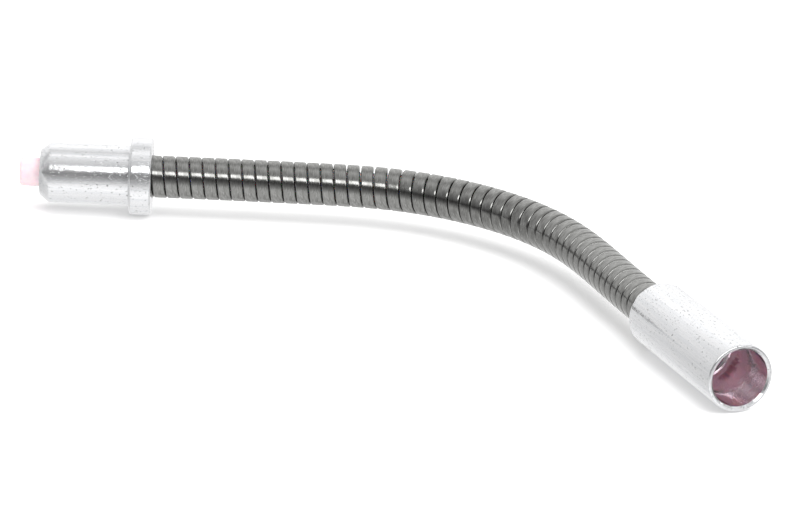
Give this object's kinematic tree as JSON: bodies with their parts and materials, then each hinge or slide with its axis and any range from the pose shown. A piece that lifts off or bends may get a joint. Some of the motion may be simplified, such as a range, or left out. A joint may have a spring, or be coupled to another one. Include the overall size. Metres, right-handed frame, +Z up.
{
  "type": "flexible brake cable guide",
  "caption": "Bent flexible cable guide: flat-wire coil with a plastic liner between a flanged nose ferrule and a housing ferrule.",
  "frame": {"origin": "on the nose axis, at the face of the flange that meets the brake arm's cradle", "axes": "-X points out of the nose, +Z is up, and the coil bends towards -Y"},
  "size_m": [0.0865, 0.0651, 0.0092],
  "materials": {
    "aluminium": "turned, bright",
    "coil_steel": "bright flat wire",
    "liner_plastic": "smooth, slightly translucent"
  },
  "bodies": {
    "nose": {"nose_ferrule": "aluminium", "coil_nose_end": "coil_steel", "liner_nose_end": "liner_plastic"},
    "length_01": {"coil_turns_01": "coil_steel", "liner_01": "liner_plastic"},
    "length_02": {"coil_turns_02": "coil_steel", "liner_02": "liner_plastic"},
    "length_03": {"coil_turns_03": "coil_steel", "liner_03": "liner_plastic"},
    "length_04": {"coil_turns_04": "coil_steel", "liner_04": "liner_plastic"},
    "length_05": {"coil_turns_05": "coil_steel", "liner_05": "liner_plastic"},
    "length_06": {"coil_turns_06": "coil_steel", "liner_06": "liner_plastic"},
    "length_07": {"coil_turns_07": "coil_steel", "liner_07": "liner_plastic"},
    "length_08": {"coil_turns_08": "coil_steel", "liner_08": "liner_plastic"},
    "length_09": {"coil_turns_09": "coil_steel", "liner_09": "liner_plastic"},
    "length_10": {"coil_turns_10": "coil_steel", "liner_10": "liner_plastic"},
    "length_11": {"coil_turns_11": "coil_steel", "liner_11": "liner_plastic"},
    "length_12": {"coil_turns_12": "coil_steel", "liner_12": "liner_plastic"},
    "length_13": {"coil_turns_13": "coil_steel", "liner_13": "liner_plastic"},
    "length_14": {"coil_turns_14": "coil_steel", "liner_14": "liner_plastic"},
    "length_15": {"coil_turns_15": "coil_steel", "liner_15": "liner_plastic"},
    "length_16": {"coil_turns_16": "coil_steel", "liner_16": "liner_plastic"},
    "length_17": {"coil_turns_17": "coil_steel", "liner_17": "liner_plastic"},
    "length_18": {"coil_turns_18": "coil_steel", "liner_18": "liner_plastic"},
    "length_19": {"coil_turns_19": "coil_steel", "liner_19": "liner_plastic"},
    "length_20": {"coil_turns_20": "coil_steel", "liner_20": "liner_plastic"},
    "length_21": {"coil_turns_21": "coil_steel", "liner_21": "liner_plastic"},
    "length_22": {"coil_turns_22": "coil_steel", "liner_22": "liner_plastic"},
    "length_23": {"coil_turns_23": "coil_steel", "liner_23": "liner_plastic"},
    "length_24": {"coil_turns_24": "coil_steel", "liner_24": "liner_plastic"},
    "length_25": {"coil_turns_25": "coil_steel", "liner_25": "liner_plastic"},
    "socket": {"coil_socket_end": "coil_steel", "liner_socket_end": "liner_plastic", "housing_ferrule": "aluminium"}
  },
  "joints": [
    {"name": "bend_01", "type": "hinge", "parent": "nose", "child": "length_01", "pos_m": [0.0026, -0.0025, -0.00002], "axis": [0, 0.0087, -1], "range_deg": [-0.3038, 0.1613]},
    {"name": "bend_02", "type": "hinge", "parent": "length_01", "child": "length_02", "pos_m": [0.00568, -0.00252, -0.00002], "axis": [0, 0.0087, -1], "range_deg": [-0.3038, 0.1613]},
    {"name": "bend_03", "type": "hinge", "parent": "length_02", "child": "length_03", "pos_m": [0.00876, -0.00255, -0.00002], "axis": [0, 0.0087, -1], "range_deg": [-0.3038, 0.1613]},
    {"name": "bend_04", "type": "hinge", "parent": "length_03", "child": "length_04", "pos_m": [0.01184, -0.00259, -0.00002], "axis": [0, 0.0087, -1], "range_deg": [-0.3038, 0.1613]},
    {"name": "bend_05", "type": "hinge", "parent": "length_04", "child": "length_05", "pos_m": [0.01492, -0.00266, -0.00002], "axis": [0, 0.0087, -1], "range_deg": [-0.3038, 0.1613]},
    {"name": "bend_06", "type": "hinge", "parent": "length_05", "child": "length_06", "pos_m": [0.018, -0.00274, -0.00002], "axis": [0, 0.0087, -1], "range_deg": [-0.3038, 0.1613]},
    {"name": "bend_07", "type": "hinge", "parent": "length_06", "child": "length_07", "pos_m": [0.02108, -0.00283, -0.00002], "axis": [0, 0.0087, -1], "range_deg": [-0.3038, 0.1613]},
    {"name": "bend_08", "type": "hinge", "parent": "length_07", "child": "length_08", "pos_m": [0.02415, -0.00294, -0.00003], "axis": [0, 0.0087, -1], "range_deg": [-2.27, 1.18]},
    {"name": "bend_09", "type": "hinge", "parent": "length_08", "child": "length_09", "pos_m": [0.02723, -0.00317, -0.00003], "axis": [0, 0.0087, -1], "range_deg": [-4.9, 2.53]},
    {"name": "bend", "type": "hinge", "parent": "length_09", "child": "length_10", "pos_m": [0.03027, -0.00367, -0.00003], "axis": [0, 0.0087, -1], "range_deg": [-6.76, 3.48]},
    {"name": "bend_11", "type": "hinge", "parent": "length_10", "child": "length_11", "pos_m": [0.03323, -0.00451, -0.00004], "axis": [0, 0.0087, -1], "range_deg": [-6.38, 3.29]},
    {"name": "bend_12", "type": "hinge", "parent": "length_11", "child": "length_12", "pos_m": [0.03608, -0.00568, -0.00005], "axis": [0, 0.0087, -1], "range_deg": [-5.98, 3.09]},
    {"name": "bend_13", "type": "hinge", "parent": "length_12", "child": "length_13", "pos_m": [0.03879, -0.00714, -0.00006], "axis": [0, 0.0087, -1], "range_deg": [-5.89, 3.04]},
    {"name": "bend_14", "type": "hinge", "parent": "length_13", "child": "length_14", "pos_m": [0.04134, -0.00887, -0.00008], "axis": [0, 0.0087, -1], "range_deg": [-5.89, 3.04]},
    {"name": "bend_15", "type": "hinge", "parent": "length_14", "child": "length_15", "pos_m": [0.04369, -0.01086, -0.00009], "axis": [0, 0.0087, -1], "range_deg": [-5.89, 3.04]},
    {"name": "bend_16", "type": "hinge", "parent": "length_15", "child": "length_16", "pos_m": [0.04584, -0.01307, -0.00011], "axis": [0, 0.0087, -1], "range_deg": [-5.89, 3.04]},
    {"name": "bend_17", "type": "hinge", "parent": "length_16", "child": "length_17", "pos_m": [0.04774, -0.01549, -0.00014], "axis": [0, 0.0087, -1], "range_deg": [-5.89, 3.04]},
    {"name": "bend_18", "type": "hinge", "parent": "length_17", "child": "length_18", "pos_m": [0.04939, -0.01809, -0.00016], "axis": [0, 0.0087, -1], "range_deg": [-4.81, 2.48]},
    {"name": "bend_19", "type": "hinge", "parent": "length_18", "child": "length_19", "pos_m": [0.05081, -0.02082, -0.00018], "axis": [0, 0.0087, -1], "range_deg": [-3.37, 1.74]},
    {"name": "bend_20", "type": "hinge", "parent": "length_19", "child": "length_20", "pos_m": [0.05207, -0.02363, -0.00021], "axis": [0, 0.0087, -1], "range_deg": [-1.94, 1]},
    {"name": "bend_21", "type": "hinge", "parent": "length_20", "child": "length_21", "pos_m": [0.05324, -0.02648, -0.00023], "axis": [0, 0.0087, -1], "range_deg": [-0.4996, 0.2622]},
    {"name": "bend_22", "type": "hinge", "parent": "length_21", "child": "length_22", "pos_m": [0.05902, -0.02749, -0.00024], "axis": [0, 0.0087, -1], "range_deg": [-0.1613, 0.3038]},
    {"name": "bend_23", "type": "hinge", "parent": "length_22", "child": "length_23", "pos_m": [0.06018, -0.03035, -0.00026], "axis": [0, 0.0087, -1], "range_deg": [-0.2622, 0.4996]},
    {"name": "bend_24", "type": "hinge", "parent": "length_23", "child": "length_24", "pos_m": [0.06136, -0.03319, -0.00029], "axis": [0, 0.0087, -1], "range_deg": [-0.2622, 0.4996]},
    {"name": "bend_25", "type": "hinge", "parent": "length_24", "child": "length_25", "pos_m": [0.06256, -0.03603, -0.00031], "axis": [0, 0.0087, -1], "range_deg": [-0.2622, 0.4996]},
    {"name": "bend_26", "type": "hinge", "parent": "length_25", "child": "socket", "pos_m": [0.06379, -0.03885, -0.00034], "axis": [0, 0.0087, -1], "range_deg": [-0.2622, 0.4996]}
  ],
  "couplings": [
    {"joint": "bend_01", "follows": "bend", "ratio": 0.043478},
    {"joint": "bend_02", "follows": "bend", "ratio": 0.043478},
    {"joint": "bend_03", "follows": "bend", "ratio": 0.043478},
    {"joint": "bend_04", "follows": "bend", "ratio": 0.043478},
    {"joint": "bend_05", "follows": "bend", "ratio": 0.043478},
    {"joint": "bend_06", "follows": "bend", "ratio": 0.043478},
    {"joint": "bend_07", "follows": "bend", "ratio": 0.043478},
    {"joint": "bend_08", "follows": "bend", "ratio": 0.33478},
    {"joint": "bend_09", "follows": "bend", "ratio": 0.72319},
    {"joint": "bend_11", "follows": "bend", "ratio": 0.94203},
    {"joint": "bend_12", "follows": "bend", "ratio": 0.88406},
    {"joint": "bend_13", "follows": "bend", "ratio": 0.86957},
    {"joint": "bend_14", "follows": "bend", "ratio": 0.86957},
    {"joint": "bend_15", "follows": "bend", "ratio": 0.86957},
    {"joint": "bend_16", "follows": "bend", "ratio": 0.86957},
    {"joint": "bend_17", "follows": "bend", "ratio": 0.86957},
    {"joint": "bend_18", "follows": "bend", "ratio": 0.71015},
    {"joint": "bend_19", "follows": "bend", "ratio": 0.49758},
    {"joint": "bend_20", "follows": "bend", "ratio": 0.28502},
    {"joint": "bend_21", "follows": "bend", "ratio": 0.072464},
    {"joint": "bend_22", "follows": "bend", "ratio": -0.043478},
    {"joint": "bend_23", "follows": "bend", "ratio": -0.072464},
    {"joint": "bend_24", "follows": "bend", "ratio": -0.072464},
    {"joint": "bend_25", "follows": "bend", "ratio": -0.072464},
    {"joint": "bend_26", "follows": "bend", "ratio": -0.072464}
  ]
}
